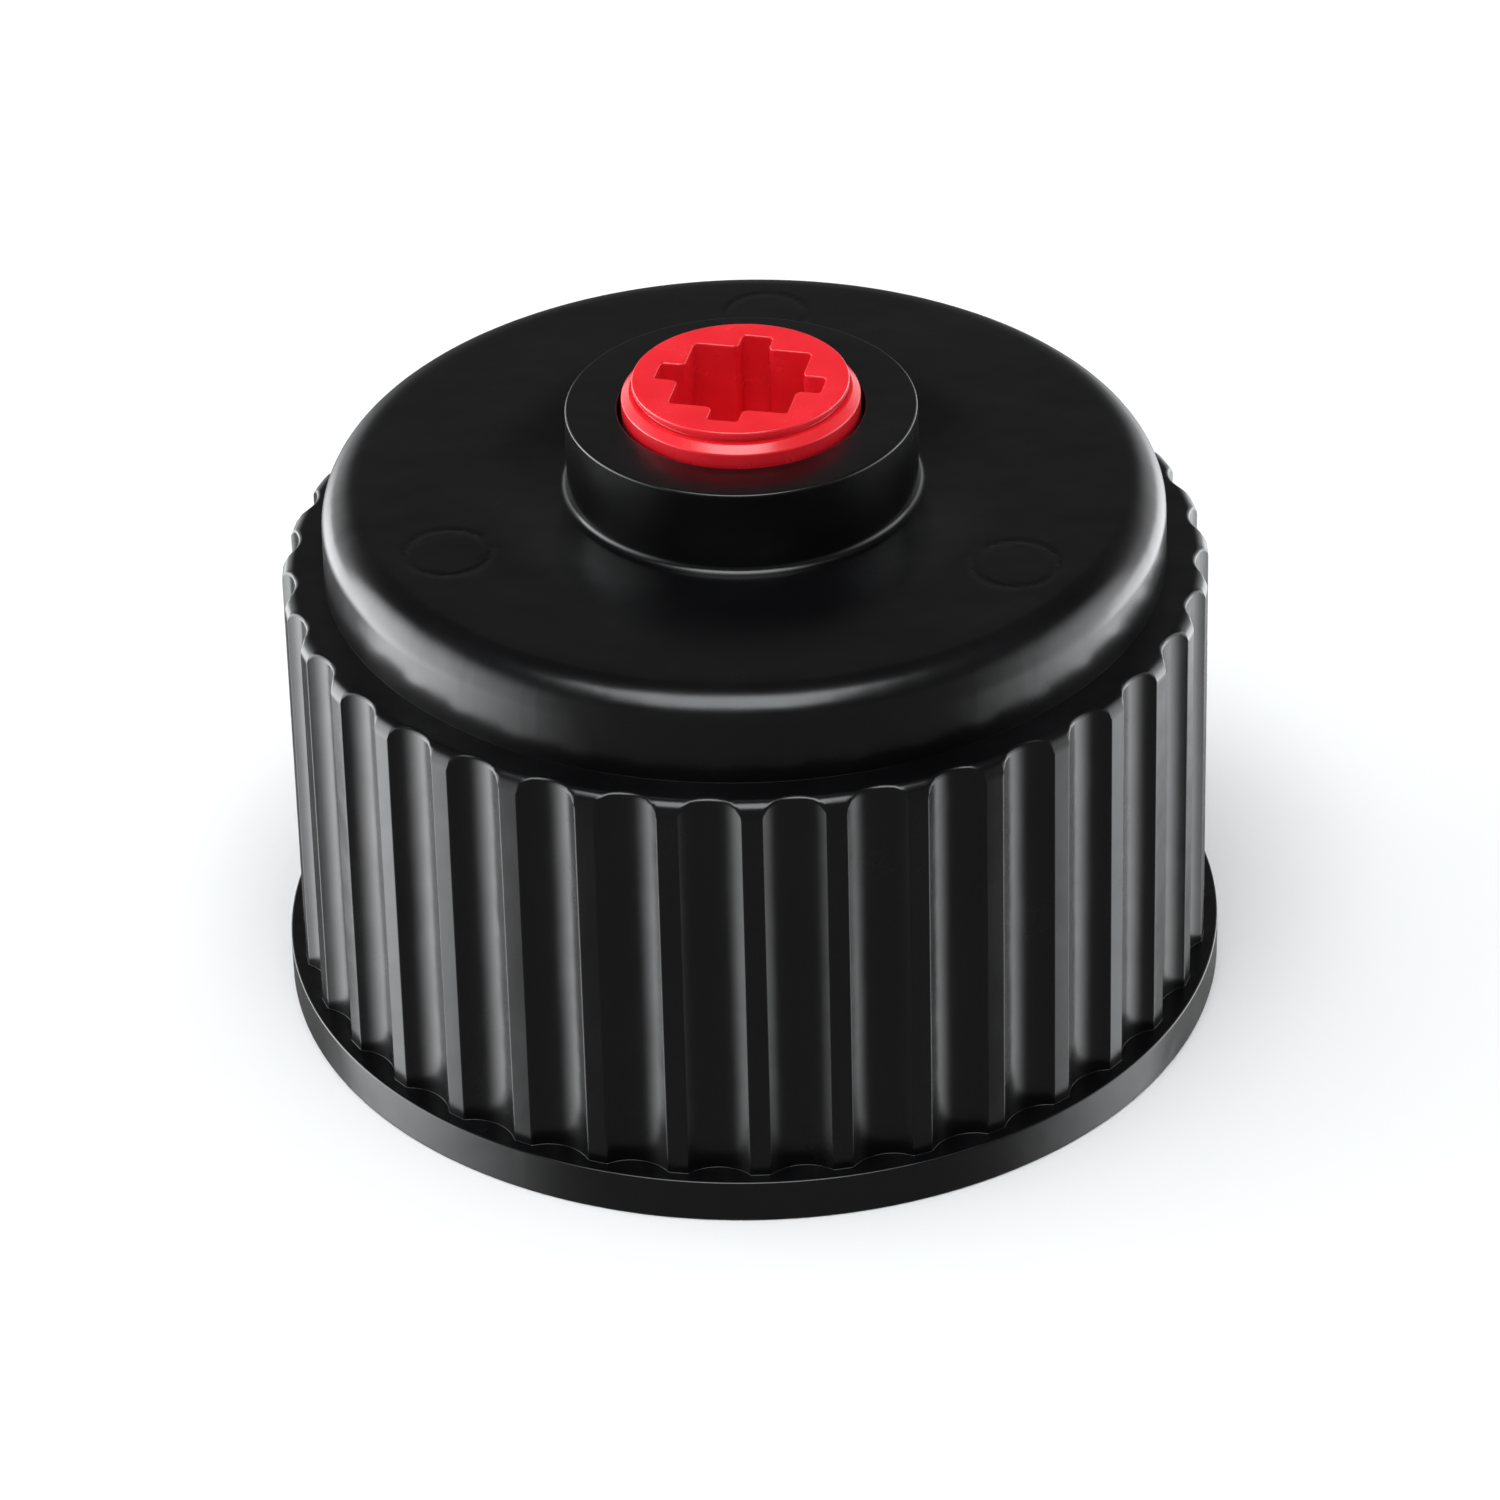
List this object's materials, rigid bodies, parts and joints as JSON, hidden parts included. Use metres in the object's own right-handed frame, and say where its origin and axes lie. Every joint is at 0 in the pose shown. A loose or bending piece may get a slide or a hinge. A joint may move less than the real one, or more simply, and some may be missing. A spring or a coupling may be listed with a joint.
{
  "type": "jug screw cap with plug",
  "caption": "Black fluted wide-mouth screw cap with a domed top and a central boss, closed by a red screw plug with a drive socket.",
  "frame": {"origin": "centre of the rim that the cap stands on, on the cap's axis", "axes": "+Z along the cap's axis, from the mouth to the plug; -Y through one ridge of the grip"},
  "size_m": [0.09, 0.09, 0.0633],
  "materials": {
    "black_moulding": "satin-gloss moulded polyethylene, black",
    "neck_rubber": "matt die-cut rubber, dark grey",
    "red_moulding": "satin moulded plastic, signal red",
    "ring_rubber": "matt black nitrile rubber"
  },
  "bodies": {
    "root": {"cap_shell": "black_moulding", "neck_gasket": "neck_rubber"},
    "seal_ring": {"plug_gasket": "ring_rubber"},
    "plug": {"port_plug": "red_moulding"}
  },
  "joints": [
    {"name": "plug_lift", "type": "slide", "parent": "root", "child": "seal_ring", "axis": [0, 0, 1], "range_m": [0, 0.0075]},
    {"name": "plug_turn", "type": "hinge", "parent": "seal_ring", "child": "plug", "pos_m": [0, 0, 0.058], "axis": [0, 0, 1], "range_deg": [0, 1485]}
  ],
  "couplings": [
    {"joint": "plug_lift", "follows": "plug_turn", "m_per_rad": 0.00028871}
  ]
}
